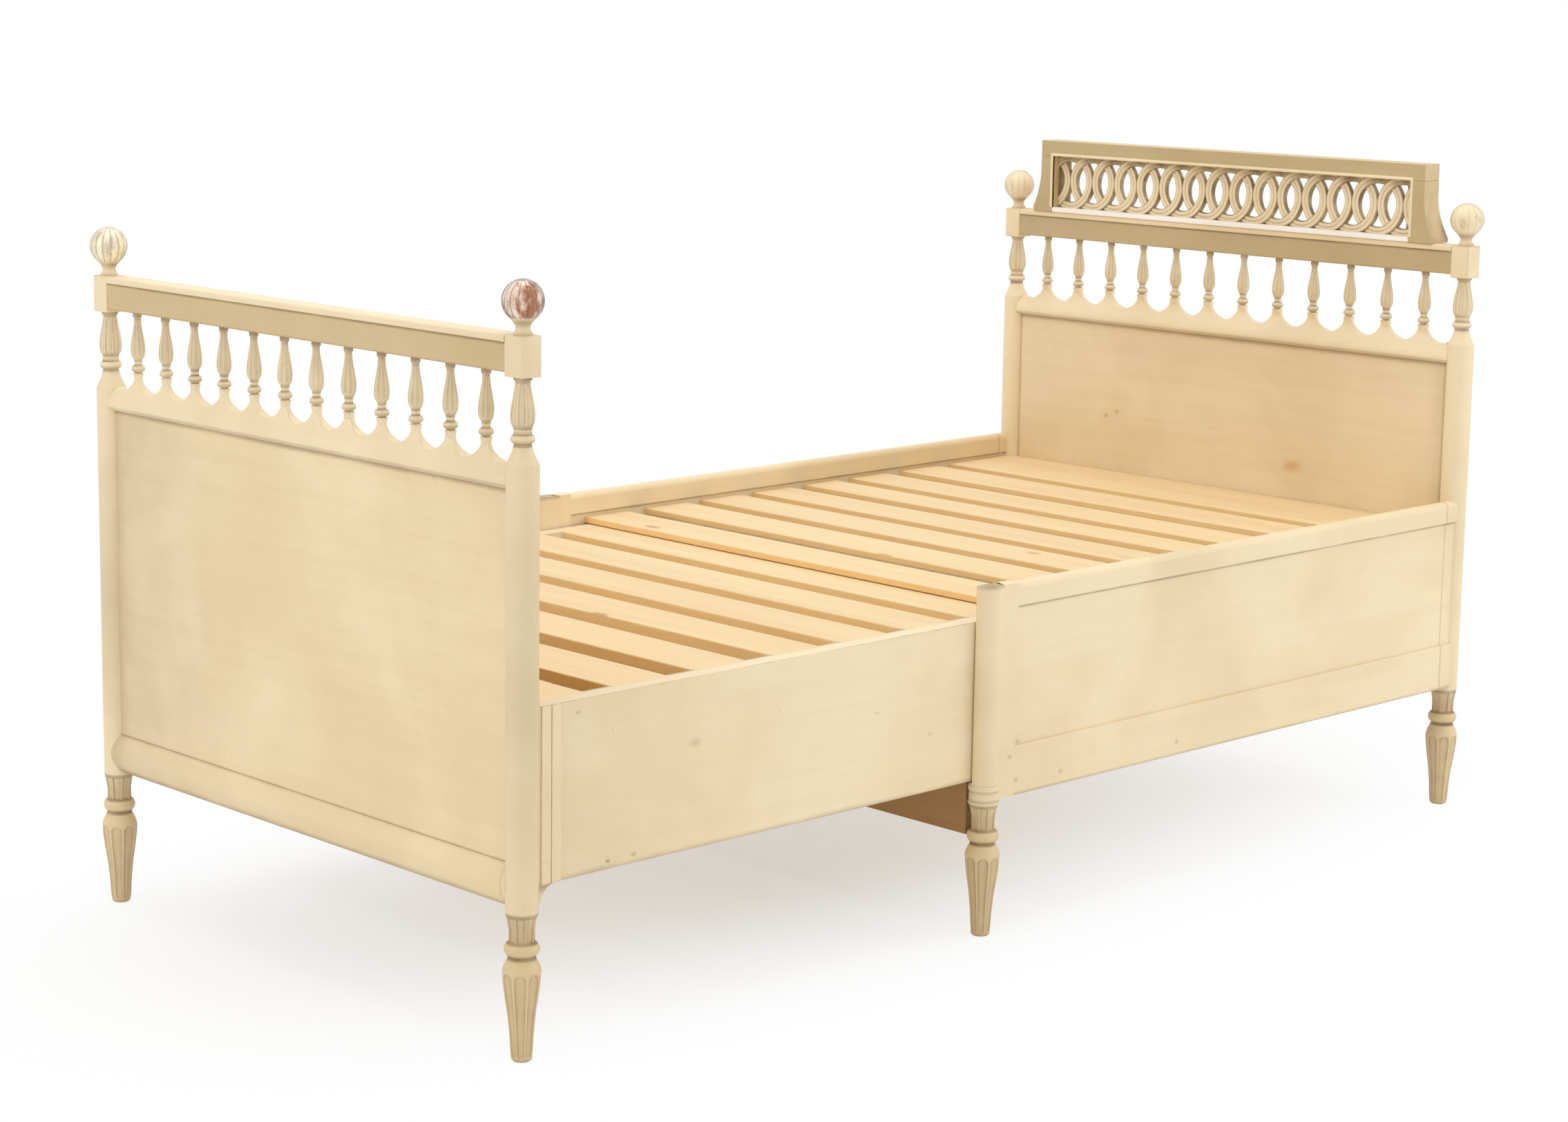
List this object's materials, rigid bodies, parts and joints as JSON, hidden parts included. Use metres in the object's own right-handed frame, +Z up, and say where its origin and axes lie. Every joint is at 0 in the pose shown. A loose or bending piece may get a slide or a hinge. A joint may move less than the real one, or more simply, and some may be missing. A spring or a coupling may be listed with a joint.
{
  "type": "pull-out bench bed",
  "caption": "Painted wooden bench bed with turned posts, spindle galleries and a pierced crest; the slatted foot half slides out of the head half.",
  "frame": {"origin": "on the floor, under the middle of the bed's box when it is pulled out", "axes": "+X from foot to head, along the pull-out slide; +Z up; -Y is the near long side"},
  "size_m": [1.921, 0.957, 0.999],
  "materials": {
    "cream_paint": "worn matt cream paint on wood",
    "ochre_paint": "worn olive-ochre paint on wood",
    "worn_gilding": "worn bronze-gold paint on turned wood",
    "bare_pine": "bare sawn pine",
    "aged_board": "bare aged brown board"
  },
  "bodies": {
    "head_section": {"crest_base_rail": "ochre_paint", "crest_dowels": "aged_board", "crest_fretwork": "cream_paint", "crest_stile_far": "ochre_paint", "crest_stile_near": "ochre_paint", "crest_top_rail": "ochre_paint", "cross_board": "aged_board", "head_finial_far": "cream_paint", "head_finial_near": "cream_paint", "head_post_far": "cream_paint", "head_post_near": "cream_paint", "head_slat_1": "bare_pine", "head_slat_2": "bare_pine", "head_slat_3": "bare_pine", "head_slat_4": "bare_pine", "head_slat_5": "bare_pine", "head_slat_6": "bare_pine", "head_slat_7": "bare_pine", "head_slat_8": "bare_pine", "headboard_balusters": "cream_paint", "headboard_board": "cream_paint", "headboard_bottom_rail": "cream_paint", "headboard_cap": "ochre_paint", "headboard_scallop_rail": "cream_paint", "headboard_top_rail": "ochre_paint", "mid_post_far": "cream_paint", "mid_post_near": "cream_paint", "side_bottom_rail_far": "cream_paint", "side_bottom_rail_near": "cream_paint", "side_panel_far": "cream_paint", "side_panel_near": "cream_paint", "side_stile_far": "cream_paint", "side_stile_near": "cream_paint", "side_top_rail_far": "cream_paint", "side_top_rail_near": "cream_paint"},
    "foot_section": {"foot_finial_far": "worn_gilding", "foot_finial_near": "worn_gilding", "foot_post_far": "cream_paint", "foot_post_near": "cream_paint", "foot_slat_1": "bare_pine", "foot_slat_2": "bare_pine", "foot_slat_3": "bare_pine", "foot_slat_4": "bare_pine", "foot_slat_5": "bare_pine", "foot_slat_6": "bare_pine", "foot_slat_7": "bare_pine", "footboard_balusters": "cream_paint", "footboard_board": "cream_paint", "footboard_bottom_rail": "cream_paint", "footboard_cap": "ochre_paint", "footboard_scallop_rail": "cream_paint", "footboard_top_rail": "ochre_paint", "pull_out_rail_far": "cream_paint", "pull_out_rail_near": "cream_paint", "rail_end_strips": "cream_paint"}
  },
  "joints": [
    {"name": "pull_out", "type": "slide", "parent": "head_section", "child": "foot_section", "axis": [1, 0, 0], "range_m": [0, 0.73]}
  ]
}
